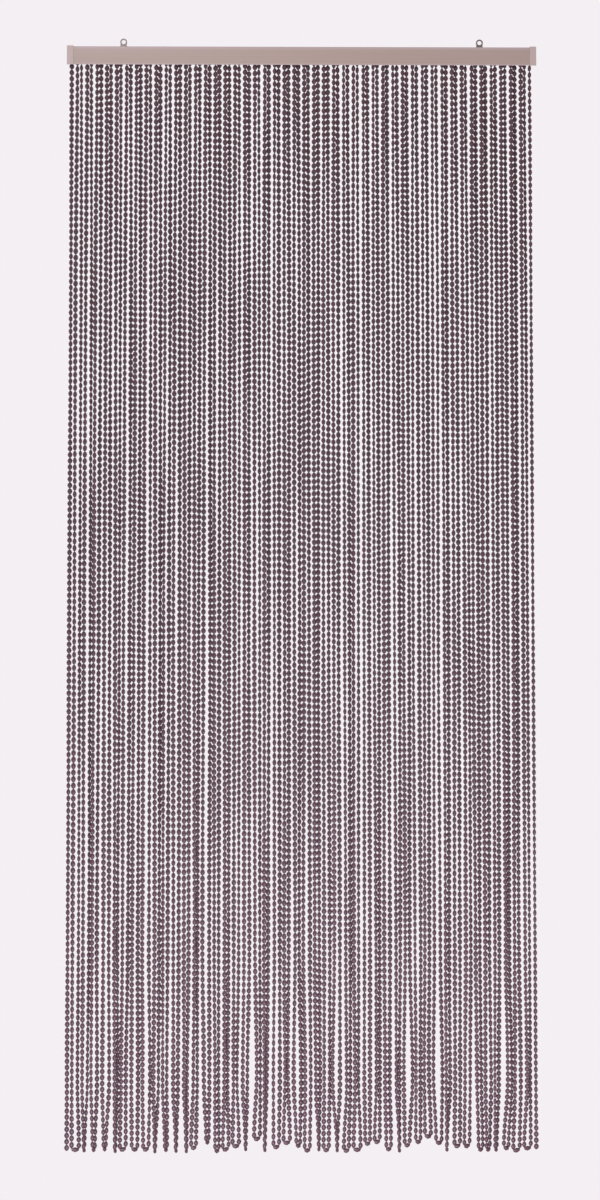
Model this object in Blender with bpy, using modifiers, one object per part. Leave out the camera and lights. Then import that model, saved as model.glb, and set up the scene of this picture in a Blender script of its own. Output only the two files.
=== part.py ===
"""Bead curtain on a head rail, for a doorway.

A hollow rail hangs from two flat metal eyes and is closed by two moulded end caps. A carrier strip
lies on the lips inside the rail. Moulded bead strings hang from the strip: 46 loops that turn back
at the hem, and a single string at each end.

Metres, +Z up. The curtain's front faces -Y and its back lies against the wall. The origin is
midway between the centres of the two hanging holes.
"""

import math
import random
from collections import namedtuple

import bmesh
import bpy
from mathutils import Vector

MM = 0.001
FIT_GAP = 0.3 * MM
REACH = 20 * MM  # how far a cutter runs past what it cuts

# Overall size
RAIL_LENGTH = 900 * MM  # over the end caps
DROP = 2100 * MM  # from the rail's top to the lowest loop
RAIL_HEIGHT = 35.5 * MM
RAIL_DEPTH = 18 * MM
RAIL_WALL = 1.2 * MM
RAIL_CORNER = 1.5 * MM
FRONT_SKIRT = 4.4 * MM  # the front wall hangs this far below the lips and the back wall
MOUTH = 13 * MM  # the slot under the rail that the strings pass through

# Hanging eyes
EYE_SPREAD = 342 * MM  # each eye's distance from the middle
EYE_RADIUS = 6.7 * MM
EYE_HOLE_RADIUS = 4.2 * MM
EYE_TO_RAIL = 11.4 * MM  # from the hole's centre down to the rail's top
EYE_TO_WALL = 5 * MM
EYE_PLATE = 2 * MM
EYE_WAIST = 5.9 * MM
EYE_WAIST_DROP = 5 * MM
NECK_HALF_WIDTH = 6.6 * MM
FOOT_HALF_WIDTH = 11 * MM
FOOT_HEIGHT = 6 * MM
EYE_EDGE = 0.3 * MM

# End caps
CAP_WIDTH = 12.4 * MM
CAP_END_WALL = 2 * MM
CAP_PROUD = 1.2 * MM
CAP_TONGUE = 12 * MM
CAP_EDGE = 0.6 * MM

# Carrier strip and strings
STRIP_THICKNESS = 3 * MM
STRIP_SIDE_GAP = 0.3 * MM
STRIP_END_GAP = 1.2 * MM
STRAND_RADIUS = 3.6 * MM  # a square strand of the beaded string's mean section
ROOT_SINK = 1.5 * MM  # how deep a strand's root lies in the strip
LOOPS = 46
LOOP_PITCH = 18.9 * MM
ROOT_SPREAD = 7.4 * MM  # between a loop's two roots
FIRST_LOOP_X = -426.3 * MM
LEFT_STRING_X = -441.2 * MM
RIGHT_STRING_X = 437.4 * MM
ROOT_STAGGER = 2.0 * MM  # a loop's legs are rooted in front of and behind the middle
HANG_STAGGER = 4.4 * MM  # and push each other this far apart lower down
BEND_SPAN = 11.5 * MM  # between a loop's legs where it turns back
BEND_DROP = 2.8 * MM  # how far it sags between them
BEND_SLANT = 1.6 * MM  # how far its ends may be above and below its middle
STRING_ROOM = 9.6 * MM  # least distance between two strings side by side
WANDER = 4 * MM  # how far a leg strays sideways on its way down
SEED = 11

# Fractions of a leg's length: where its place across the curtain is set, and where it has a point
PLACED_AT = (0.0, 0.22, 0.55, 0.82, 0.94, 1.0)
STATIONS = (0.0, 0.025, 0.08, 0.22, 0.39, 0.55, 0.69, 0.82, 0.9, 0.94, 0.97, 1.0)
BEND_STEPS = 3

# Where the strings part near the hem, from the curtain's middle
Parting = namedtuple("Parting", "at_mm width_mm")
PARTINGS = (
    Parting(at_mm=-313, width_mm=5),
    Parting(at_mm=-198, width_mm=4),
    Parting(at_mm=-95, width_mm=7),
    Parting(at_mm=-49, width_mm=6),
    Parting(at_mm=-9, width_mm=8),
    Parting(at_mm=62, width_mm=5),
    Parting(at_mm=198, width_mm=9),
    Parting(at_mm=250, width_mm=7),
    Parting(at_mm=319, width_mm=9),
    Parting(at_mm=376, width_mm=6),
)
PARTING_REACH = 22 * MM

# Loops that stand out at the hem: how high they end above the lowest one, and how far their bend
# is turned from facing the front
HemLoop = namedtuple("HemLoop", "loop lift_mm turn_deg")
HEM_LOOPS = (
    HemLoop(loop=0, lift_mm=3, turn_deg=20),
    HemLoop(loop=5, lift_mm=3, turn_deg=25),
    HemLoop(loop=7, lift_mm=3, turn_deg=30),
    HemLoop(loop=11, lift_mm=0, turn_deg=80),
    HemLoop(loop=12, lift_mm=6, turn_deg=30),
    HemLoop(loop=13, lift_mm=16, turn_deg=60),
    HemLoop(loop=16, lift_mm=9, turn_deg=20),
    HemLoop(loop=18, lift_mm=22, turn_deg=25),
    HemLoop(loop=20, lift_mm=7, turn_deg=30),
    HemLoop(loop=21, lift_mm=15, turn_deg=25),
    HemLoop(loop=22, lift_mm=9, turn_deg=50),
    HemLoop(loop=29, lift_mm=13, turn_deg=25),
    HemLoop(loop=30, lift_mm=16, turn_deg=25),
    HemLoop(loop=33, lift_mm=10, turn_deg=25),
    HemLoop(loop=34, lift_mm=16, turn_deg=35),
    HemLoop(loop=35, lift_mm=26, turn_deg=20),
    HemLoop(loop=36, lift_mm=14, turn_deg=30),
    HemLoop(loop=38, lift_mm=8, turn_deg=20),
    HemLoop(loop=39, lift_mm=8, turn_deg=35),
    HemLoop(loop=43, lift_mm=4, turn_deg=25),
    HemLoop(loop=45, lift_mm=4, turn_deg=25),
)

# Levels and planes that follow from the sizes
RAIL_TOP = -EYE_TO_RAIL
RAIL_BOTTOM = RAIL_TOP - RAIL_HEIGHT
RAIL_BACK = EYE_TO_WALL
RAIL_FRONT = RAIL_BACK - RAIL_DEPTH
RAIL_MIDDLE = (RAIL_FRONT + RAIL_BACK) / 2
RAIL_HALF = RAIL_LENGTH / 2 - CAP_END_WALL - FIT_GAP
LIP_BOTTOM = RAIL_BOTTOM + FRONT_SKIRT
STRIP_BOTTOM = LIP_BOTTOM + RAIL_WALL + FIT_GAP
STRIP_TOP = STRIP_BOTTOM + STRIP_THICKNESS
HEM = RAIL_TOP - DROP

PART = "bead_curtain"
CUTTERS = "cutters"


def clear_scene():
    for thing in list(bpy.data.objects):
        bpy.data.objects.remove(thing)
    for name in (PART, CUTTERS):
        bpy.context.scene.collection.children.link(bpy.data.collections.new(name))


def material(name, colour, roughness, metallic=0.0):
    made = bpy.data.materials.new(name)
    made.use_nodes = True
    shader = made.node_tree.nodes["Principled BSDF"]
    shader.inputs["Base Color"].default_value = (*colour, 1)
    shader.inputs["Roughness"].default_value = roughness
    shader.inputs["Metallic"].default_value = metallic
    return made


def add_object(name, data, collection=PART):
    thing = bpy.data.objects.new(name, data)
    bpy.data.collections[collection].objects.link(thing)
    return thing


def box(name, low, high, collection=PART):
    low = Vector(low)
    high = Vector(high)
    mesh = bpy.data.meshes.new(name)
    body = bmesh.new()
    bmesh.ops.create_cube(body, size=1)
    bmesh.ops.scale(body, vec=high - low, verts=body.verts)
    bmesh.ops.translate(body, vec=(low + high) / 2, verts=body.verts)
    body.to_mesh(mesh)
    body.free()
    return add_object(name, mesh, collection)


def cutter(name, low, high):
    made = box(name, low, high, CUTTERS)
    made.hide_render = True
    made.display_type = "WIRE"
    return made


def combine(thing, other, operation):
    step = thing.modifiers.new(f"{operation.lower()} {other.name}", "BOOLEAN")
    step.operation = operation
    step.solver = "EXACT"
    step.object = other


def bevel(thing, width, segments):
    step = thing.modifiers.new("edges", "BEVEL")
    step.width = width
    step.segments = segments
    step.limit_method = "ANGLE"
    step.angle_limit = math.radians(40)


def as_mesh(curve_object):
    """Replace a curve object by its closed mesh, in the same place."""
    depsgraph = bpy.context.evaluated_depsgraph_get()
    mesh = bpy.data.meshes.new_from_object(curve_object.evaluated_get(depsgraph))
    body = bmesh.new()
    body.from_mesh(mesh)
    bmesh.ops.remove_doubles(body, verts=body.verts, dist=0.01 * MM)
    body.to_mesh(mesh)
    body.free()
    collection = curve_object.users_collection[0].name
    name = curve_object.name
    place = curve_object.matrix_world.copy()
    bpy.data.objects.remove(curve_object)
    made = add_object(name, mesh, collection)
    made.matrix_world = place
    return made


def flat_shape(name, outlines, thickness, rotation):
    """A flat plate from closed outlines, the later ones holes, extruded both ways from its plane."""
    curve = bpy.data.curves.new(name, "CURVE")
    curve.dimensions = "2D"
    curve.fill_mode = "BOTH"
    curve.extrude = thickness / 2
    for outline in outlines:
        spline = curve.splines.new("POLY")
        spline.points.add(len(outline) - 1)
        for point, (across, up) in zip(spline.points, outline):
            point.co = (across, up, 0, 1)
        spline.use_cyclic_u = True
    thing = add_object(name, curve)
    thing.rotation_euler = rotation
    bpy.context.view_layer.update()
    return as_mesh(thing)


def arc(centre, radius, start_deg, end_deg, steps):
    """Points along an arc, both ends included."""
    angles = [math.radians(start_deg + (end_deg - start_deg) * i / steps) for i in range(steps + 1)]
    return [(centre[0] + radius * math.cos(a), centre[1] + radius * math.sin(a)) for a in angles]


def rail_outline():
    """The rail's section in (y, z): open below, with two lips inside and a longer front wall."""
    corner = RAIL_CORNER
    front_edge = RAIL_WALL / 2
    lip_top = LIP_BOTTOM + RAIL_WALL
    inner_front = RAIL_FRONT + RAIL_WALL
    inner_back = RAIL_BACK - RAIL_WALL
    mouth_front = RAIL_MIDDLE - MOUTH / 2
    mouth_back = RAIL_MIDDLE + MOUTH / 2
    outside = (
        arc((RAIL_FRONT + front_edge, RAIL_BOTTOM + front_edge), front_edge, 360, 180, 6)
        + arc((RAIL_FRONT + corner, RAIL_TOP - corner), corner, 180, 90, 4)
        + arc((RAIL_BACK - corner, RAIL_TOP - corner), corner, 90, 0, 4)
        + arc((RAIL_BACK - corner, LIP_BOTTOM + corner), corner, 0, -90, 4)
    )
    inside = [
        (mouth_back, LIP_BOTTOM),
        (mouth_back, lip_top),
        (inner_back, lip_top),
        (inner_back, RAIL_TOP - RAIL_WALL),
        (inner_front, RAIL_TOP - RAIL_WALL),
        (inner_front, lip_top),
        (mouth_front, lip_top),
        (mouth_front, LIP_BOTTOM),
        (inner_front, LIP_BOTTOM),
    ]
    return outside + inside


def build_rail():
    along_x = (math.radians(90), 0, math.radians(90))
    rail = flat_shape("rail", [rail_outline()], 2 * RAIL_HALF, along_x)
    half_slot = NECK_HALF_WIDTH + FIT_GAP
    for side in (-1, 1):
        middle = side * EYE_SPREAD
        slot = cutter(
            f"eye_slot_{side}",
            (middle - half_slot, -EYE_PLATE / 2 - FIT_GAP, RAIL_TOP - 2 * RAIL_WALL),
            (middle + half_slot, EYE_PLATE / 2 + FIT_GAP, RAIL_TOP + REACH),
        )
        combine(rail, slot, "DIFFERENCE")
    rail.data.materials.append(material("rail_finish", (0.46, 0.37, 0.34), 0.45))


def build_cap(name, side):
    """A moulded cap: an end wall shaped as the rail's section, a flange over the rail's front and
    top, and a tongue inside."""
    end = side * RAIL_LENGTH / 2
    inner_edge = end - side * CAP_WIDTH
    wall_face = end - side * CAP_END_WALL

    def span(a, b):
        return min(a, b), max(a, b)

    left, right = span(end, inner_edge)
    cap = box(
        name,
        (left, RAIL_FRONT - CAP_PROUD, RAIL_BOTTOM),
        (right, RAIL_BACK, RAIL_TOP + CAP_PROUD),
    )
    bevel(cap, CAP_EDGE, 2)
    left, right = span(wall_face, inner_edge - side * REACH)
    room = cutter(
        f"{name}_room",
        (left, RAIL_FRONT - FIT_GAP, RAIL_BOTTOM - REACH),
        (right, RAIL_BACK + REACH, RAIL_TOP + FIT_GAP),
    )
    combine(cap, room, "DIFFERENCE")
    left, right = span(end + side * REACH, inner_edge - side * REACH)
    step = cutter(
        f"{name}_step",
        (left, RAIL_FRONT + RAIL_WALL, RAIL_BOTTOM - REACH),
        (right, RAIL_BACK + REACH, LIP_BOTTOM),
    )
    combine(cap, step, "DIFFERENCE")
    left, right = span(end - side * CAP_END_WALL / 2, wall_face - side * CAP_TONGUE)
    side_gap = RAIL_WALL + FIT_GAP
    tongue = cutter(
        f"{name}_tongue",
        (left, RAIL_FRONT + side_gap, STRIP_TOP + FIT_GAP),
        (right, RAIL_BACK - side_gap, RAIL_TOP - side_gap),
    )
    combine(cap, tongue, "UNION")
    cap.data.materials.append(material(f"{name}_plastic", (0.53, 0.43, 0.41), 0.5))


def build_hanger(name, side):
    """A stamped tab: a round eye, a waist, a neck through the rail's slot and a foot under it."""
    foot_top = RAIL_TOP - RAIL_WALL - FIT_GAP
    foot_bottom = foot_top - FOOT_HEIGHT
    right_side = [
        (FOOT_HALF_WIDTH, foot_bottom),
        (FOOT_HALF_WIDTH, foot_top),
        (NECK_HALF_WIDTH, foot_top),
        (NECK_HALF_WIDTH, RAIL_TOP + FIT_GAP),
        (EYE_WAIST, -EYE_WAIST_DROP),
    ]
    left_side = [(-across, up) for across, up in reversed(right_side)]
    outline = right_side + arc((0, 0), EYE_RADIUS, 0, 180, 16) + left_side
    hole = arc((0, 0), EYE_HOLE_RADIUS, 0, 345, 23)
    upright = (math.radians(90), 0, 0)
    hanger = flat_shape(name, [outline, hole], EYE_PLATE, upright)
    hanger.location.x = side * EYE_SPREAD
    bevel(hanger, EYE_EDGE, 1)
    hanger.data.materials.append(material(f"{name}_metal", (0.42, 0.38, 0.37), 0.4, 1.0))


def smooth(value, start, end):
    """Rise from 0 at start to 1 at end, level at both."""
    t = min(max((value - start) / (end - start), 0), 1)
    return t * t * (3 - 2 * t)


def parted(x):
    """How far the partings push a string that hangs at x."""
    push = 0
    for row in PARTINGS:
        away = x - row.at_mm * MM
        push += math.copysign(row.width_mm * MM / 2, away) * math.exp(-abs(away) / PARTING_REACH)
    return push


def make_room(places, rooms):
    """Push neighbours in a row apart until each pair has its room; the lone end strings stay."""
    row = [LEFT_STRING_X, *places, RIGHT_STRING_X]
    for _ in range(80):
        for index, room in enumerate(rooms):
            short = room - (row[index + 1] - row[index])
            if short > 0:
                row[index] -= short / 2
                row[index + 1] += short / 2
        row[0], row[-1] = LEFT_STRING_X, RIGHT_STRING_X
    return row[1:-1]


def bend_room(bend, next_bend):
    """How far apart the middles of two neighbouring bends must be."""
    in_row = STRING_ROOM + abs(bend.across - next_bend.across)
    depth = min(bend.deep + next_bend.deep, STRING_ROOM)
    between_rows = math.sqrt(STRING_ROOM**2 - depth**2)
    return max(in_row, between_rows + bend.across + next_bend.across)


Bend = namedtuple("Bend", "turn lift slant across deep")
Loop = namedtuple("Loop", "left right bend")


def plan_bends(dice):
    """How each loop's bend hangs: its turn, how high it ends, how far its left end is above its
    middle, and half its size from side to side and from front to back."""
    turns = [dice.choice((20, 35, 50, 65, 80)) for _ in range(LOOPS)]
    lifts = [dice.uniform(0, 4) for _ in range(LOOPS)]
    for row in HEM_LOOPS:
        turns[row.loop] = row.turn_deg
        lifts[row.loop] = row.lift_mm
    bends = []
    for turn_deg, lift_mm in zip(turns, lifts):
        turn = math.radians(turn_deg)
        half = min(BEND_SPAN / 2 * dice.uniform(0.85, 1.25), HANG_STAGGER / math.sin(turn))
        slant = BEND_SLANT * dice.uniform(-1, 1)
        bends.append(Bend(turn, lift_mm * MM, slant, half * math.cos(turn), half * math.sin(turn)))
    return bends


def plan_loops():
    """For each loop: the places of both legs at the set fractions, and its bend."""
    dice = random.Random(SEED)
    bends = plan_bends(dice)
    middles = [FIRST_LOOP_X + index * LOOP_PITCH for index in range(LOOPS)]
    rooms = [STRING_ROOM] * (LOOPS + 1)
    rows = []
    for side in (-1, 1):
        root = [x + side * ROOT_SPREAD / 2 for x in middles]
        even = [x + side * LOOP_PITCH / 4 + dice.uniform(-0.8, 0.8) * MM for x in middles]
        loose = make_room([x + dice.uniform(-0.3, 0.3) * WANDER for x in even], rooms)
        low = make_room([x + dice.uniform(-0.4, 0.4) * WANDER for x in loose], rooms)
        near = make_room([x + parted(x) + dice.uniform(-0.5, 0.5) * WANDER for x in low], rooms)
        rows.append((root, even, loose, low, near))

    hems = [(left + right) / 2 for left, right in zip(rows[0][-1], rows[1][-1])]
    hems = [x + dice.uniform(-0.8, 0.8) * WANDER for x in hems]
    ends = [STRING_ROOM + bend.across for bend in (bends[0], bends[-1])]
    rooms = [bend_room(*pair) for pair in zip(bends, bends[1:])]
    hems = make_room(hems, [ends[0], *rooms, ends[1]])
    loops = []
    for index, (hem, bend) in enumerate(zip(hems, bends)):
        left = [place[index] for place in rows[0]] + [hem - bend.across]
        right = [place[index] for place in rows[1]] + [hem + bend.across]
        loops.append(Loop(left, right, bend))
    return loops


def leg_point(loop, side, fraction):
    """The middle of a loop's left (-1) or right (+1) leg, from its root (0) to its bend (1)."""
    places = loop.left if side < 0 else loop.right
    x = places[0]
    for start, end, place, following in zip(PLACED_AT, PLACED_AT[1:], places, places[1:]):
        x += (following - place) * smooth(fraction, start, end)
    stagger = ROOT_STAGGER + (HANG_STAGGER - ROOT_STAGGER) * smooth(fraction, 0, 0.08)
    half_y = stagger + (loop.bend.deep - stagger) * smooth(fraction, 0.95, 1)
    top = STRIP_BOTTOM + ROOT_SINK
    sag = math.hypot(BEND_DROP, loop.bend.slant) - side * loop.bend.slant
    bottom = HEM + STRAND_RADIUS + loop.bend.lift + sag
    return Vector((x, RAIL_MIDDLE + side * half_y, top + (bottom - top) * fraction))


def bend_points(loop):
    """The sagging bend below a loop's legs, without its ends."""
    left = leg_point(loop, -1, 1)
    right = leg_point(loop, 1, 1)
    middle = (left + right) / 2
    across = (left - right) / 2
    points = []
    for step in range(1, BEND_STEPS):
        angle = math.pi * step / BEND_STEPS
        points.append(middle + across * math.cos(angle) - Vector((0, 0, BEND_DROP * math.sin(angle))))
    return points


def single_points(x, stagger, lift):
    """A lone string at one end of the rail, from its root to its tip."""
    top = STRIP_BOTTOM + ROOT_SINK
    bottom = HEM + lift
    points = []
    for fraction in STATIONS:
        side = ROOT_STAGGER + (HANG_STAGGER - ROOT_STAGGER) * smooth(fraction, 0, 0.08)
        points.append(Vector((x, RAIL_MIDDLE + stagger * side, top + (bottom - top) * fraction)))
    return points


def strand_paths():
    paths = [single_points(LEFT_STRING_X, 1, 4 * MM)]
    for loop in plan_loops():
        down = [leg_point(loop, -1, fraction) for fraction in STATIONS]
        up = [leg_point(loop, 1, fraction) for fraction in reversed(STATIONS)]
        paths.append(down + bend_points(loop) + up)
    paths.append(single_points(RIGHT_STRING_X, -1, 6 * MM))
    return paths


def build_strings():
    """The carrier strip with every strand's root fused into it."""
    curve = bpy.data.curves.new("strands", "CURVE")
    curve.dimensions = "3D"
    curve.bevel_depth = STRAND_RADIUS
    curve.bevel_resolution = 0
    curve.use_fill_caps = True
    for path in strand_paths():
        spline = curve.splines.new("POLY")
        spline.points.add(len(path) - 1)
        for point, place in zip(spline.points, path):
            point.co = (*place, 1)
    strands = add_object("strands", curve, CUTTERS)
    bpy.context.view_layer.update()
    strands = as_mesh(strands)
    strands.hide_render = True
    strands.display_type = "WIRE"

    half_width = RAIL_DEPTH / 2 - RAIL_WALL - STRIP_SIDE_GAP
    half_length = RAIL_HALF - STRIP_END_GAP
    strings = box(
        "strings",
        (-half_length, RAIL_MIDDLE - half_width, STRIP_BOTTOM),
        (half_length, RAIL_MIDDLE + half_width, STRIP_TOP),
    )
    combine(strings, strands, "UNION")
    strings.data.materials.append(material("bead_plastic", (0.09, 0.065, 0.075), 0.4))


clear_scene()
build_rail()
build_cap("cap_left", -1)
build_cap("cap_right", 1)
build_hanger("hanger_left", -1)
build_hanger("hanger_right", 1)
build_strings()
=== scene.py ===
import math
import random
from collections import namedtuple

import bpy
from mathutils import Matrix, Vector


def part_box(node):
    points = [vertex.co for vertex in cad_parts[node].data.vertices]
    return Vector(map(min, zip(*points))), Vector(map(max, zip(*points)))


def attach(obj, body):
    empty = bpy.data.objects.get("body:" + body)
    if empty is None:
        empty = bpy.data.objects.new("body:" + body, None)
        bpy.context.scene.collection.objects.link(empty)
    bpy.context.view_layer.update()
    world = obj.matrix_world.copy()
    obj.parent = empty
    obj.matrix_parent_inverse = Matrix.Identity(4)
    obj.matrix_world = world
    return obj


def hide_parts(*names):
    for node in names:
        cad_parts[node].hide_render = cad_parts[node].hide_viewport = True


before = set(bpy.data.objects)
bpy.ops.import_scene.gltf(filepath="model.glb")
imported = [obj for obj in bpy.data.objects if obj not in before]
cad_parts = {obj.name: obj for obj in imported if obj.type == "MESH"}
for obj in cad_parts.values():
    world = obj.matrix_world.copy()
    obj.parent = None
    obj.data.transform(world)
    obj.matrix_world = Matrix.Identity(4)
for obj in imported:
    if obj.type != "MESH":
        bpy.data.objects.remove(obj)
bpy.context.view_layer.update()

MM = 0.001
rail_low, rail_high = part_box("rail")

# Head rail: a thin aluminium extrusion, open below, faced with a satin wood-grain foil. The
# printed grain runs along the rail in fine pale and dark streaks. A paler band along the rail's
# upper and lower edges is a painted highlight, where the edges catch the light.
FOIL_TONE = "8F7C74"
FOIL_PALE = "948179"
FOIL_DARK = "8A776F"
# A painted highlight: its tone, and how far it reaches down from the top and up from the foot
EDGE_HIGHLIGHT_TONE = "9C8B8B"
TOP_HIGHLIGHT_BAND = 7.5 * MM
FOOT_HIGHLIGHT_BAND = 3.5 * MM
GRAIN_WIDTH = 1.4 * MM
BROAD_GRAIN = 6.36 * MM
GRAIN_LENGTH = 260 * MM
GRAIN_RELIEF = 0.06 * MM


def linear(hex_colour):
    """A display hex colour as linear red, green, blue and alpha."""
    parts = [int(hex_colour[i:i + 2], 16) / 255 for i in (0, 2, 4)]
    return (*[p / 12.92 if p <= 0.04045 else ((p + 0.055) / 1.055) ** 2.4 for p in parts], 1.0)


def new_material(name, roughness, metallic=0.0):
    made = bpy.data.materials.new(name)
    made.use_nodes = True
    shader = made.node_tree.nodes["Principled BSDF"]
    shader.inputs["Roughness"].default_value = roughness
    shader.inputs["Metallic"].default_value = metallic
    return made, shader


def add_node(material, kind, inputs=(), **settings):
    """Add a node, set its properties, and fill or link its inputs by name or number."""
    node = material.node_tree.nodes.new(kind)
    for name, value in settings.items():
        setattr(node, name, value)
    for name, value in dict(inputs).items():
        if isinstance(value, bpy.types.NodeSocket):
            material.node_tree.links.new(value, node.inputs[name])
        else:
            node.inputs[name].default_value = value
    return node


def link(material, output, shader_input):
    material.node_tree.links.new(output, shader_input)


def wood_foil():
    made, shader = new_material("wood_grain_foil", roughness=0.42)
    place = add_node(made, "ShaderNodeTexCoord").outputs["Object"]
    stretch = (1 / GRAIN_LENGTH, 1 / GRAIN_WIDTH, 1 / GRAIN_WIDTH)
    along = add_node(made, "ShaderNodeMapping", {"Vector": place, "Scale": stretch})
    fine = add_node(made, "ShaderNodeTexNoise", {
        "Vector": along.outputs[0], "Scale": 1.0, "Detail": 4.0, "Roughness": 0.6})
    broad = add_node(made, "ShaderNodeTexNoise", {
        "Vector": along.outputs[0], "Scale": GRAIN_WIDTH / BROAD_GRAIN, "Detail": 2.0,
        "Distortion": 0.4})
    streaks = add_node(made, "ShaderNodeMix", {
        "Factor": 0.4, "A": fine.outputs["Fac"], "B": broad.outputs["Fac"]}, data_type="FLOAT")
    ramp = add_node(made, "ShaderNodeValToRGB", {"Fac": streaks.outputs[0]})
    ramp.color_ramp.elements[0].position = 0.32
    ramp.color_ramp.elements[0].color = linear(FOIL_DARK)
    ramp.color_ramp.elements[1].position = 0.68
    ramp.color_ramp.elements[1].color = linear(FOIL_PALE)
    middle = ramp.color_ramp.elements.new(0.5)
    middle.color = linear(FOIL_TONE)
    height = add_node(made, "ShaderNodeSeparateXYZ", {"Vector": place}).outputs["Z"]
    # Painted highlight: the foil turns paler towards the top and foot edges, where they catch the
    # light
    top_highlight = add_node(made, "ShaderNodeMapRange", {
        "Value": height, "From Min": rail_high.z - TOP_HIGHLIGHT_BAND, "From Max": rail_high.z})
    foot_highlight = add_node(made, "ShaderNodeMapRange", {
        "Value": height, "From Min": rail_low.z + FOOT_HIGHLIGHT_BAND, "From Max": rail_low.z})
    edge_highlight = add_node(made, "ShaderNodeMath", {
        0: top_highlight.outputs[0], 1: foot_highlight.outputs[0]}, operation="MAXIMUM")
    # A mix of colours has them in inputs 6 and 7 and the result in output 2
    foil_and_highlight = add_node(made, "ShaderNodeMix", {
        "Factor": edge_highlight.outputs[0], 6: ramp.outputs["Color"], 7: linear(EDGE_HIGHLIGHT_TONE)},
        data_type="RGBA")
    link(made, foil_and_highlight.outputs[2], shader.inputs["Base Color"])
    relief = add_node(made, "ShaderNodeBump", {
        "Height": fine.outputs["Fac"], "Distance": GRAIN_RELIEF, "Strength": 0.5})
    link(made, relief.outputs["Normal"], shader.inputs["Normal"])
    return made


def finish_node(name, material):
    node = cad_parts[name]
    node.data.materials.clear()
    node.data.materials.append(material)


finish_node("rail", wood_foil())

# End caps: injection-moulded plastic, a little paler than the foil, pushed onto the rail's ends.
# The mould leaves a fine even texture and a satin shine.
CAP_TONE = "9D8C88"
CAP_GRAIN = 0.5 * MM
CAP_RELIEF = 0.03 * MM
CAP_CLOUD = 11.1 * MM


def cap_plastic():
    made, shader = new_material("moulded_cap_plastic", roughness=0.5)
    place = add_node(made, "ShaderNodeTexCoord").outputs["Object"]
    grain = add_node(made, "ShaderNodeTexNoise", {
        "Vector": place, "Scale": 1 / CAP_GRAIN, "Detail": 2.0})
    cloud = add_node(made, "ShaderNodeTexNoise", {"Vector": place, "Scale": 1 / CAP_CLOUD})
    tone = add_node(made, "ShaderNodeHueSaturation", {
        "Color": linear(CAP_TONE),
        "Value": add_node(made, "ShaderNodeMapRange", {
            "Value": cloud.outputs["Fac"], "To Min": 0.95, "To Max": 1.05}).outputs[0]})
    link(made, tone.outputs["Color"], shader.inputs["Base Color"])
    relief = add_node(made, "ShaderNodeBump", {
        "Height": grain.outputs["Fac"], "Distance": CAP_RELIEF, "Strength": 0.4})
    link(made, relief.outputs["Normal"], shader.inputs["Normal"])
    return made


plastic = cap_plastic()
finish_node("cap_left", plastic)
finish_node("cap_right", plastic)

# Hanging eyes: flat tabs stamped from zinc-plated steel, dulled with age to a warm grey. Rolling
# left faint lines up the sheet.
STEEL_TONE = "69605E"
ROLLING_LINE = 0.35 * MM
ROLLING_LENGTH = 8.75 * MM


def stamped_steel():
    made, shader = new_material("stamped_zinc_plated_steel", roughness=0.42, metallic=1.0)
    place = add_node(made, "ShaderNodeTexCoord").outputs["Object"]
    stretch = (1 / ROLLING_LINE, 1 / ROLLING_LINE, 1 / ROLLING_LENGTH)
    along = add_node(made, "ShaderNodeMapping", {"Vector": place, "Scale": stretch})
    lines = add_node(made, "ShaderNodeTexNoise", {
        "Vector": along.outputs[0], "Scale": 1.0, "Detail": 3.0})
    tone = add_node(made, "ShaderNodeHueSaturation", {
        "Color": linear(STEEL_TONE),
        "Value": add_node(made, "ShaderNodeMapRange", {
            "Value": lines.outputs["Fac"], "To Min": 0.85, "To Max": 1.1}).outputs[0]})
    link(made, tone.outputs["Color"], shader.inputs["Base Color"])
    shine = add_node(made, "ShaderNodeMapRange", {
        "Value": lines.outputs["Fac"], "To Min": 0.34, "To Max": 0.5})
    link(made, shine.outputs[0], shader.inputs["Roughness"])
    return made


steel = stamped_steel()
finish_node("hanger_left", steel)
finish_node("hanger_right", steel)

# Carrier strip: a flat extruded plastic bar that lies on the lips inside the rail. Every string
# is rooted in it, in two staggered rows. The die left faint lines along it.
RAIL_WALL = 1.2 * MM
FRONT_SKIRT = 4.4 * MM
FIT_GAP = 0.3 * MM
STRIP_THICKNESS = 3 * MM
STRIP_SIDE_GAP = 0.3 * MM
STRIP_END_GAP = 1.2 * MM
STRIP_EDGE = 0.5 * MM
STRIP_TONE = "4A3E43"
DIE_LINE = 1.11 * MM
DIE_LINE_LENGTH = 125 * MM
rail_middle = (rail_low.y + rail_high.y) / 2
strip_bottom = rail_low.z + FRONT_SKIRT + RAIL_WALL + FIT_GAP


def strip_plastic():
    made, shader = new_material("extruded_strip_plastic", roughness=0.55)
    place = add_node(made, "ShaderNodeTexCoord").outputs["Object"]
    stretch = (1 / DIE_LINE_LENGTH, 1 / DIE_LINE, 1 / DIE_LINE)
    drawn = add_node(made, "ShaderNodeMapping", {"Vector": place, "Scale": stretch})
    lines = add_node(made, "ShaderNodeTexNoise", {"Vector": drawn.outputs[0], "Scale": 1.0})
    tone = add_node(made, "ShaderNodeHueSaturation", {
        "Color": linear(STRIP_TONE),
        "Value": add_node(made, "ShaderNodeMapRange", {
            "Value": lines.outputs["Fac"], "To Min": 0.85, "To Max": 1.15}).outputs[0]})
    link(made, tone.outputs["Color"], shader.inputs["Base Color"])
    return made


def activate(thing):
    bpy.ops.object.select_all(action="DESELECT")
    thing.select_set(True)
    bpy.context.view_layer.objects.active = thing


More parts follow.
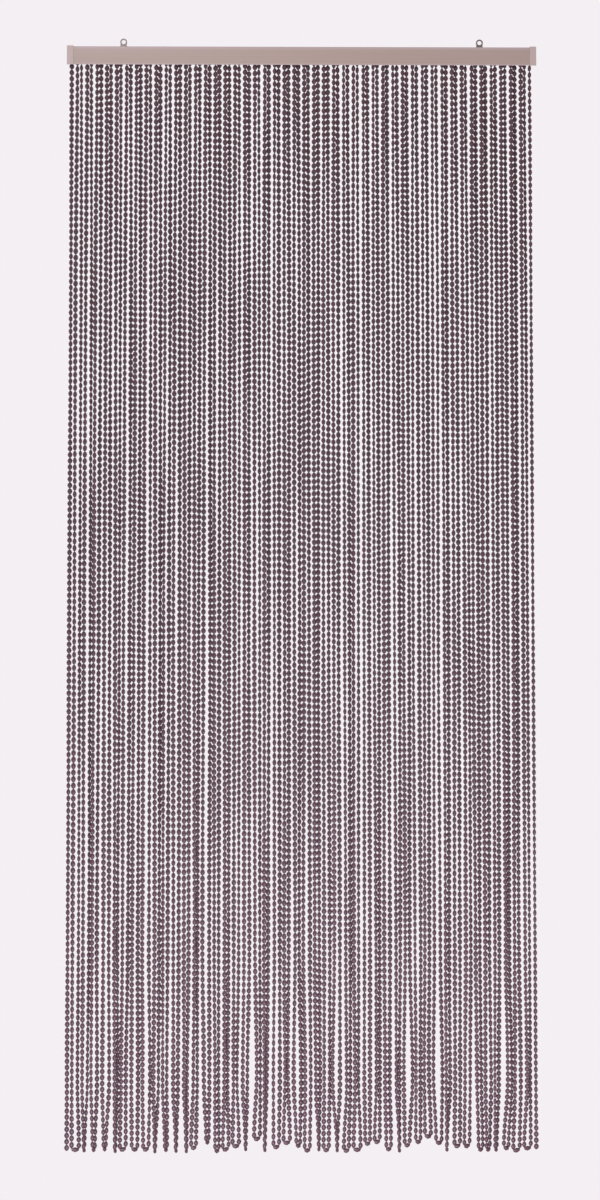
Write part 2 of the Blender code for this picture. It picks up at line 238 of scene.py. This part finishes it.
bpy.ops.object.select_all(action="DESELECT")
bpy.ops.mesh.primitive_cube_add(
    size=1, location=(0, rail_middle, strip_bottom + STRIP_THICKNESS / 2))
strip = bpy.context.object
strip.name = "carrier_strip"
strip.scale = (
    rail_high.x - rail_low.x - 2 * STRIP_END_GAP,
    rail_high.y - rail_low.y - 2 * (RAIL_WALL + STRIP_SIDE_GAP),
    STRIP_THICKNESS,
)
bpy.ops.object.transform_apply(location=True, rotation=True, scale=True)
edges = strip.modifiers.new("edges", "BEVEL")
edges.width = STRIP_EDGE
edges.segments = 2
bpy.ops.object.modifier_apply(modifier=edges.name)
strip.data.materials.append(strip_plastic())
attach(strip, "root")
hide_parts("strings")

# Bead strings: soft plastic moulded in one with its beads, flattened ovals on a thin neck. Each
# loop of string goes down from the strip and back up beside itself, so the hem is a row of turned
# ends, and a single string hangs at each end. They hang unevenly, turn, and lean together.
DROP = 2100 * MM
LOOPS = 46
LOOP_PITCH = 18.9 * MM
ROOT_SPREAD = 7.4 * MM
FIRST_LOOP_X = -426.3 * MM
LEFT_STRING_X = -441.2 * MM
RIGHT_STRING_X = 437.4 * MM
LEFT_STRING_LIFT = 4 * MM
RIGHT_STRING_LIFT = 6 * MM
ROOT_SINK = 1.5 * MM
STRAND_RADIUS = 3.6 * MM
STRING_ROOM = 9.6 * MM
ROOM_ROUNDS = 80
SEED = 11
LOOPS_A_PIECE = 10

# Loops hang in two layers: left legs in front of the middle plane, right legs as far behind it.
# The layers have drawn apart by the first of these fractions of a leg, and close to the bend's
# own depth from the second.
ROOT_STAGGER = 2.0 * MM
HANG_STAGGER = 4.4 * MM
LAYERS_APART_BY = 0.08
LAYERS_CLOSE_FROM = 0.95

# A bend: its usual span before it is turned, how much of that the narrowest and the widest have,
# how deep it sags, how far its ends may be above and below its middle, how it may be turned, and
# how high it may hang
BEND_SPAN = 11.5 * MM
NARROWEST_BEND = 0.85
WIDEST_BEND = 1.25
BEND_DROP = 2.8 * MM
BEND_SLANT = 1.6 * MM
BEND_TURNS_DEG = (20, 35, 50, 65, 80)
BEND_LIFT_MM = 4

# How far a string may stray from its place, at the set fractions of its length
EVEN_STRAY = 0.8 * MM
LOOSE_STRAY = 1.2 * MM
LOW_STRAY = 1.6 * MM
NEAR_STRAY = 2.0 * MM
HEM_STRAY = 3.2 * MM
PARTING_REACH = 22 * MM

# A bead, from neck to neck: the run is closer where its flat side faces the front. Strings differ
# by the spread either way, and each is drawn out a little by its own weight towards the top.
BEAD_WIDTH = 9.8 * MM
BEAD_FLATNESS = 0.75
BEAD_SIDES = 6
BROAD_PITCH = 11.6 * MM
THIN_PITCH = 12.8 * MM
PITCH_SPREAD = 0.08
TOP_STRETCH = 0.04
BEAD_SEED = 5

# How strings turn about themselves, in radians: most show their flat side, some their edge, and
# each swings in a long wave, whose length is in metres. The swing grows towards the hem, and a
# leg takes its bend's turn over the last stretch.
FLAT_TURNS = (-0.5, 0.5)
EDGE_ON_TURNS = (1.1, 1.5)
EDGE_ON_SHARE = 0.15
SWINGS = (0.2, 0.6)
WAVE_LENGTHS = (0.4, 1.1)
HEM_FREEDOM = 0.8
HEM_REACH = 900 * MM
TWIST_LENGTH = 120 * MM

# Where a bead has a ring, from one neck to the next, and how wide it is there
BeadRing = namedtuple("BeadRing", "at width")
BEAD_RINGS = (
    BeadRing(at=0.0, width=0.2),
    BeadRing(at=0.18, width=0.7),
    BeadRing(at=0.5, width=1.0),
    BeadRing(at=0.82, width=0.7),
)

# The bead that lies across a loop's bend: how far round from its middle, and how wide
BEND_RINGS = (
    BeadRing(at=-45, width=0.68),
    BeadRing(at=0, width=0.95),
    BeadRing(at=45, width=0.68),
)

# Fractions of a leg's length where its place across the curtain is set
PLACED_AT = (0.0, 0.22, 0.55, 0.82, 0.94, 1.0)

# Where the strings part near the hem, from the curtain's middle
Parting = namedtuple("Parting", "at_mm width_mm")
PARTINGS = (
    Parting(at_mm=-313, width_mm=5),
    Parting(at_mm=-198, width_mm=4),
    Parting(at_mm=-95, width_mm=7),
    Parting(at_mm=-49, width_mm=6),
    Parting(at_mm=-9, width_mm=8),
    Parting(at_mm=62, width_mm=5),
    Parting(at_mm=198, width_mm=9),
    Parting(at_mm=250, width_mm=7),
    Parting(at_mm=319, width_mm=9),
    Parting(at_mm=376, width_mm=6),
)

# Loops that stand out at the hem
HemLoop = namedtuple("HemLoop", "loop lift_mm turn_deg")
HEM_LOOPS = (
    HemLoop(loop=0, lift_mm=3, turn_deg=20),
    HemLoop(loop=5, lift_mm=3, turn_deg=25),
    HemLoop(loop=7, lift_mm=3, turn_deg=30),
    HemLoop(loop=11, lift_mm=0, turn_deg=80),
    HemLoop(loop=12, lift_mm=6, turn_deg=30),
    HemLoop(loop=13, lift_mm=16, turn_deg=60),
    HemLoop(loop=16, lift_mm=9, turn_deg=20),
    HemLoop(loop=18, lift_mm=22, turn_deg=25),
    HemLoop(loop=20, lift_mm=7, turn_deg=30),
    HemLoop(loop=21, lift_mm=15, turn_deg=25),
    HemLoop(loop=22, lift_mm=9, turn_deg=50),
    HemLoop(loop=29, lift_mm=13, turn_deg=25),
    HemLoop(loop=30, lift_mm=16, turn_deg=25),
    HemLoop(loop=33, lift_mm=10, turn_deg=25),
    HemLoop(loop=34, lift_mm=16, turn_deg=35),
    HemLoop(loop=35, lift_mm=26, turn_deg=20),
    HemLoop(loop=36, lift_mm=14, turn_deg=30),
    HemLoop(loop=38, lift_mm=8, turn_deg=20),
    HemLoop(loop=39, lift_mm=8, turn_deg=35),
    HemLoop(loop=43, lift_mm=4, turn_deg=25),
    HemLoop(loop=45, lift_mm=4, turn_deg=25),
)

root_z = strip_bottom + ROOT_SINK
hem_z = rail_high.z - DROP


def smooth(value, start, end):
    """Rise from 0 at start to 1 at end, level at both."""
    t = min(max((value - start) / (end - start), 0), 1)
    return t * t * (3 - 2 * t)


def parted(x):
    """How far the partings push a string that hangs at x."""
    push = 0
    for row in PARTINGS:
        away = x - row.at_mm * MM
        push += math.copysign(row.width_mm * MM / 2, away) * math.exp(-abs(away) / PARTING_REACH)
    return push


def make_room(places, rooms):
    """Push neighbours in a row apart until each pair has its room; the lone end strings stay."""
    row = [LEFT_STRING_X, *places, RIGHT_STRING_X]
    for _ in range(ROOM_ROUNDS):
        for index, room in enumerate(rooms):
            short = room - (row[index + 1] - row[index])
            if short > 0:
                row[index] -= short / 2
                row[index + 1] += short / 2
        row[0], row[-1] = LEFT_STRING_X, RIGHT_STRING_X
    return row[1:-1]


def bend_room(bend, next_bend):
    """How far apart the middles of two neighbouring bends must be."""
    in_row = STRING_ROOM + abs(bend.across - next_bend.across)
    depth = min(bend.deep + next_bend.deep, STRING_ROOM)
    between_rows = math.sqrt(STRING_ROOM**2 - depth**2)
    return max(in_row, between_rows + bend.across + next_bend.across)


Bend = namedtuple("Bend", "turn lift slant across deep")
Loop = namedtuple("Loop", "left right bend")


def plan_bends(dice):
    """How each loop's bend hangs: its turn, how high it ends, how far its left end is above its
    middle, and half its size from side to side and from front to back."""
    turns = [dice.choice(BEND_TURNS_DEG) for _ in range(LOOPS)]
    lifts = [dice.uniform(0, BEND_LIFT_MM) for _ in range(LOOPS)]
    for row in HEM_LOOPS:
        turns[row.loop] = row.turn_deg
        lifts[row.loop] = row.lift_mm
    bends = []
    for turn_deg, lift_mm in zip(turns, lifts):
        turn = math.radians(turn_deg)
        half = BEND_SPAN / 2 * dice.uniform(NARROWEST_BEND, WIDEST_BEND)
        half = min(half, HANG_STAGGER / math.sin(turn))
        slant = BEND_SLANT * dice.uniform(-1, 1)
        bends.append(Bend(turn, lift_mm * MM, slant, half * math.cos(turn), half * math.sin(turn)))
    return bends


def stray(x, reach, dice):
    """The place x, moved to either side at random by no more than reach."""
    return x + dice.uniform(-reach, reach)


def plan_loops():
    """For each loop: the places of both legs at the set fractions, and its bend."""
    dice = random.Random(SEED)
    bends = plan_bends(dice)
    middles = [FIRST_LOOP_X + index * LOOP_PITCH for index in range(LOOPS)]
    rooms = [STRING_ROOM] * (LOOPS + 1)
    rows = []
    for side in (-1, 1):
        root = [x + side * ROOT_SPREAD / 2 for x in middles]
        even = [stray(x + side * LOOP_PITCH / 4, EVEN_STRAY, dice) for x in middles]
        loose = make_room([stray(x, LOOSE_STRAY, dice) for x in even], rooms)
        low = make_room([stray(x, LOW_STRAY, dice) for x in loose], rooms)
        near = make_room([stray(x + parted(x), NEAR_STRAY, dice) for x in low], rooms)
        rows.append((root, even, loose, low, near))

    hems = [(left + right) / 2 for left, right in zip(rows[0][-1], rows[1][-1])]
    hems = [stray(x, HEM_STRAY, dice) for x in hems]
    ends = [STRING_ROOM + bend.across for bend in (bends[0], bends[-1])]
    rooms = [bend_room(*pair) for pair in zip(bends, bends[1:])]
    hems = make_room(hems, [ends[0], *rooms, ends[1]])
    loops = []
    for index, (hem, bend) in enumerate(zip(hems, bends)):
        left = [place[index] for place in rows[0]] + [hem - bend.across]
        right = [place[index] for place in rows[1]] + [hem + bend.across]
        loops.append(Loop(left, right, bend))
    return loops


def leg_end(loop, side):
    """The height at which a loop's left (-1) or right (+1) leg meets its bend."""
    sag = math.hypot(BEND_DROP, loop.bend.slant) - side * loop.bend.slant
    return hem_z + STRAND_RADIUS + loop.bend.lift + sag


def stagger_at(fraction):
    """How far a string hangs from the middle plane, at a fraction of its length from the root."""
    return ROOT_STAGGER + (HANG_STAGGER - ROOT_STAGGER) * smooth(fraction, 0, LAYERS_APART_BY)


def leg_point(loop, side, fraction):
    """The middle of a loop's left (-1) or right (+1) leg, from its root (0) to its bend (1)."""
    places = loop.left if side < 0 else loop.right
    x = places[0]
    for start, end, place, following in zip(PLACED_AT, PLACED_AT[1:], places, places[1:]):
        x += (following - place) * smooth(fraction, start, end)
    half_y = stagger_at(fraction)
    half_y += (loop.bend.deep - half_y) * smooth(fraction, LAYERS_CLOSE_FROM, 1)
    z = root_z + (leg_end(loop, side) - root_z) * fraction
    return Vector((x, rail_middle + side * half_y, z))


Ring = namedtuple("Ring", "place width turn")


def bend_rings(loop):
    """The rings of the bead across a loop's bend, from left to right."""
    left = leg_point(loop, -1, 1)
    right = leg_point(loop, 1, 1)
    rings = []
    for row in BEND_RINGS:
        angle = math.radians(row.at)
        place = (left + right) / 2 + (right - left) / 2 * math.sin(angle)
        place.z -= BEND_DROP * math.cos(angle)
        rings.append(Ring(place, row.width, -loop.bend.turn))
    return rings


def beads_up(route, length, turning, stretch):
    """Rings of a run of beads, from the neck at its foot up to the strip."""
    rings = []
    neck = 0
    while neck < length:
        pitch = THIN_PITCH + (BROAD_PITCH - THIN_PITCH) * abs(math.cos(turning(neck)))
        pitch *= stretch * (1 + TOP_STRETCH * (neck / length - 0.5))
        for row in BEAD_RINGS:
            travel = neck + row.at * pitch
            if travel < length:
                rings.append(Ring(route(travel), row.width, turning(travel)))
        neck += pitch
    return rings


def top_end(root, turn):
    """The last two rings of a string, straight up into the strip."""
    below = root - Vector((0, 0, ROOT_SINK))
    neck = BEAD_RINGS[0].width
    return [Ring(below, neck, turn), Ring(root, neck, turn)]


def string_turning(dice):
    """How far a string's flat side has turned from the front at a distance from the hem."""
    edge_on = dice.random() < EDGE_ON_SHARE
    facing = dice.uniform(*EDGE_ON_TURNS) if edge_on else dice.uniform(*FLAT_TURNS)
    swing = dice.uniform(*SWINGS)
    wave = dice.uniform(*WAVE_LENGTHS)
    phase = dice.uniform(0, 2 * math.pi)

    def turning(travel):
        freedom = 1 + HEM_FREEDOM * (1 - smooth(travel, 0, HEM_REACH))
        sway = freedom * math.sin(2 * math.pi * travel / wave + phase)
        return (facing + swing * sway) * smooth(travel, 0, TWIST_LENGTH)

    return turning


def loop_rings(loop, dice):
    """All rings of a loop, down its left leg and up its right one."""
    legs = []
    for side in (-1, 1):
        turning = string_turning(dice)
        stretch = dice.uniform(1 - PITCH_SPREAD, 1 + PITCH_SPREAD)
        length = root_z - leg_end(loop, side)

        def flat_side(travel, turning=turning):
            return turning(travel) + loop.bend.turn * (1 - smooth(travel, 0, TWIST_LENGTH))

        def route(travel, side=side, length=length):
            return leg_point(loop, side, 1 - travel / length)

        rings = beads_up(route, length - ROOT_SINK, flat_side, stretch)
        rings += top_end(leg_point(loop, side, 0), rings[-1].turn)
        legs.append(rings)
    left, right = legs
    left = [ring._replace(turn=-ring.turn) for ring in left]
    right = [ring._replace(turn=ring.turn - 2 * loop.bend.turn) for ring in right]
    return list(reversed(left)) + bend_rings(loop) + right


def single_rings(x, side, lift, dice):
    """A lone string at an end, in front of (-1) or behind (+1) the middle plane."""
    turning = string_turning(dice)

    def route(travel):
        z = hem_z + lift + travel
        fraction = (root_z - z) / (root_z - hem_z - lift)
        return Vector((x, rail_middle + side * stagger_at(fraction), z))

    length = root_z - ROOT_SINK - hem_z - lift
    rings = beads_up(route, length, turning, 1)
    rings += top_end(route(root_z - hem_z - lift), rings[-1].turn)
    return list(reversed(rings))


def bead_section():
    """The oval that runs along every string, one unit wide."""
    curve = bpy.data.curves.new("bead_section", "CURVE")
    spline = curve.splines.new("POLY")
    spline.points.add(BEAD_SIDES - 1)
    for number, point in enumerate(spline.points):
        angle = 2 * math.pi * number / BEAD_SIDES
        point.co = (math.cos(angle) / 2, BEAD_FLATNESS * math.sin(angle) / 2, 0, 1)
    spline.use_cyclic_u = True
    section = bpy.data.objects.new("bead_section", curve)
    bpy.context.scene.collection.objects.link(section)
    return section


def string_piece(name, strands, section, material):
    """One mesh of several strings: a curve along each, with the oval drawn along it."""
    curve = bpy.data.curves.new(name, "CURVE")
    curve.dimensions = "3D"
    curve.bevel_mode = "OBJECT"
    curve.bevel_object = section
    curve.use_fill_caps = True
    for rings in strands:
        spline = curve.splines.new("POLY")
        spline.points.add(len(rings) - 1)
        spline.points.foreach_set("co", [c for ring in rings for c in (*ring.place, 1)])
        spline.points.foreach_set("radius", [BEAD_WIDTH * ring.width for ring in rings])
        spline.points.foreach_set("tilt", [ring.turn for ring in rings])
    piece = bpy.data.objects.new(name, curve)
    bpy.context.scene.collection.objects.link(piece)
    activate(piece)
    bpy.ops.object.convert(target="MESH")
    piece = bpy.context.object
    bpy.ops.object.mode_set(mode="EDIT")
    bpy.ops.mesh.select_all(action="SELECT")
    bpy.ops.mesh.remove_doubles(threshold=0.01 * MM)
    bpy.ops.mesh.normals_make_consistent(inside=False)
    bpy.ops.object.mode_set(mode="OBJECT")
    bpy.ops.object.shade_smooth()
    piece.data.materials.clear()
    piece.data.materials.append(material)
    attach(piece, "root")
    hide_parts("strings")
    return piece


# Moulded soft plastic, such as PVC, in a dark plum brown. The mould leaves a half-gloss skin.
# Each string's tone drifts slightly along its length, a painted sheen for the gloss that catches
# the light unevenly.
BEAD_DARK = "3B2128"
BEAD_PALE = "492F37"
SHEEN_WIDTH = 9.1 * MM
SHEEN_LENGTH = 667 * MM
BEAD_CLOUD = 6.25 * MM
SKIN_GRAIN = 1.11 * MM
SKIN_RELIEF = 0.08 * MM


def bead_plastic():
    made, shader = new_material("moulded_soft_plastic", roughness=0.42)
    shader.inputs["Specular IOR Level"].default_value = 0.35
    place = add_node(made, "ShaderNodeTexCoord").outputs["Object"]
    stretch = (1 / SHEEN_WIDTH, 1 / SHEEN_WIDTH, 1 / SHEEN_LENGTH)
    by_string = add_node(made, "ShaderNodeMapping", {"Vector": place, "Scale": stretch})
    # Painted sheen: a slow drift in tone along each string, for its gloss catching the light
    sheen = add_node(made, "ShaderNodeTexNoise", {"Vector": by_string.outputs[0], "Scale": 1.0})
    cloud = add_node(made, "ShaderNodeTexNoise", {
        "Vector": place, "Scale": 1 / BEAD_CLOUD, "Detail": 2.0})
    both = add_node(made, "ShaderNodeMix", {
        "Factor": 0.45, "A": sheen.outputs["Fac"], "B": cloud.outputs["Fac"]}, data_type="FLOAT")
    ramp = add_node(made, "ShaderNodeValToRGB", {"Fac": both.outputs[0]})
    ramp.color_ramp.elements[0].position = 0.3
    ramp.color_ramp.elements[0].color = linear(BEAD_DARK)
    ramp.color_ramp.elements[1].position = 0.7
    ramp.color_ramp.elements[1].color = linear(BEAD_PALE)
    link(made, ramp.outputs["Color"], shader.inputs["Base Color"])
    skin = add_node(made, "ShaderNodeTexNoise", {"Vector": place, "Scale": 1 / SKIN_GRAIN})
    relief = add_node(made, "ShaderNodeBump", {
        "Height": skin.outputs["Fac"], "Distance": SKIN_RELIEF, "Strength": 0.35})
    link(made, relief.outputs["Normal"], shader.inputs["Normal"])
    return made


bead_dice = random.Random(BEAD_SEED)
soft_plastic = bead_plastic()
section = bead_section()
strands = [single_rings(LEFT_STRING_X, 1, LEFT_STRING_LIFT, bead_dice)]
for loop in plan_loops():
    strands.append(loop_rings(loop, bead_dice))
strands.append(single_rings(RIGHT_STRING_X, -1, RIGHT_STRING_LIFT, bead_dice))
for start in range(0, len(strands), LOOPS_A_PIECE):
    name = f"bead_strings_{start // LOOPS_A_PIECE + 1}"
    string_piece(name, strands[start:start + LOOPS_A_PIECE], section, soft_plastic)
bpy.data.objects.remove(section)

# Studio: a pale painted floor below the curtain, a pale room all round, and three soft lamps:
# one at the upper left, a weak one at the right and a low, slightly blue one before the hem.
# Places and sizes are in metres, and power is in watts.
FLOOR_DROP = 300 * MM
FLOOR_RADIUS = 1.3
FLOOR_TONE = "F3EEF2"
ROOM_TONE = "F4EFF3"


def floor_paint():
    made, shader = new_material("pale_floor", roughness=0.8)
    shader.inputs["Base Color"].default_value = linear(FLOOR_TONE)
    return made


bpy.ops.object.select_all(action="DESELECT")
bpy.ops.mesh.primitive_circle_add(
    vertices=96, radius=FLOOR_RADIUS, fill_type="NGON", location=(0, 0, hem_z - FLOOR_DROP))
floor = bpy.context.object
floor.name = "floor"
floor.data.materials.append(floor_paint())

room = bpy.data.worlds.new("pale_room")
bpy.context.scene.world = room
room.use_nodes = True
room.node_tree.nodes["Background"].inputs["Color"].default_value = linear(ROOM_TONE)
room.node_tree.nodes["Background"].inputs["Strength"].default_value = 1.0


def soft_lamp(name, place, target, size, power, colour=(1, 1, 1)):
    lamp = bpy.data.lights.new(name, "AREA")
    lamp.color = colour
    lamp.shape = "RECTANGLE"
    lamp.size, lamp.size_y = size
    lamp.energy = power
    holder = bpy.data.objects.new(name, lamp)
    bpy.context.scene.collection.objects.link(holder)
    holder.location = place
    holder.rotation_euler = (Vector(target) - Vector(place)).to_track_quat("-Z", "Y").to_euler()
    holder.visible_camera = False
    return holder


soft_lamp(
    "key_lamp", place=(-0.6, -1.9, 0.4), target=(0, 0, -0.5), size=(0.8, 1.2), power=14)
soft_lamp(
    "fill_lamp", place=(1.4, -3.0, -1.2), target=(0, 0, -1.2), size=(1.6, 2.0), power=4)
hem_lamp = soft_lamp(
    "hem_lamp", place=(0, -1.3, -2.3), target=(0, 0, -2.0), size=(1.4, 0.2), power=39,
    colour=(0.9, 1.0, 1.2))

# The hem lamp stands close above the floor, which is kept out of its light
shaded = bpy.data.collections.new("out_of_hem_light")
shaded.objects.link(floor)
shaded.collection_objects[0].light_linking.link_state = "EXCLUDE"
hem_lamp.light_linking.receiver_collection = shaded

# Camera: before the curtain and a little to its left, below its middle and tipped up to it, so
# the hem looks slightly wider than the rail. Distances are in metres and angles in degrees, and
# the frame is 600 by 1200 pixels.
FRAME_HEIGHT = 1200
FOCAL_PIXELS = 2907
CAMERA_DISTANCE = 5.5
CAMERA_HEIGHT = -1.463
CAMERA_SIDE = -0.076
CAMERA_PITCH = 4.04
CAMERA_YAW = -0.75
CAMERA_ROLL = -0.04

camera_data = bpy.data.cameras.new("camera")
camera_data.sensor_fit = "AUTO"
camera_data.lens = camera_data.sensor_width * FOCAL_PIXELS / FRAME_HEIGHT
camera = bpy.data.objects.new("camera", camera_data)
bpy.context.scene.collection.objects.link(camera)
camera.location = (CAMERA_SIDE, -CAMERA_DISTANCE, CAMERA_HEIGHT)
camera.rotation_euler = (math.radians(90 + CAMERA_PITCH), 0, math.radians(CAMERA_YAW))
camera.rotation_euler.rotate_axis("Z", math.radians(CAMERA_ROLL))
bpy.context.scene.camera = camera
bpy.context.scene.view_settings.view_transform = "Standard"
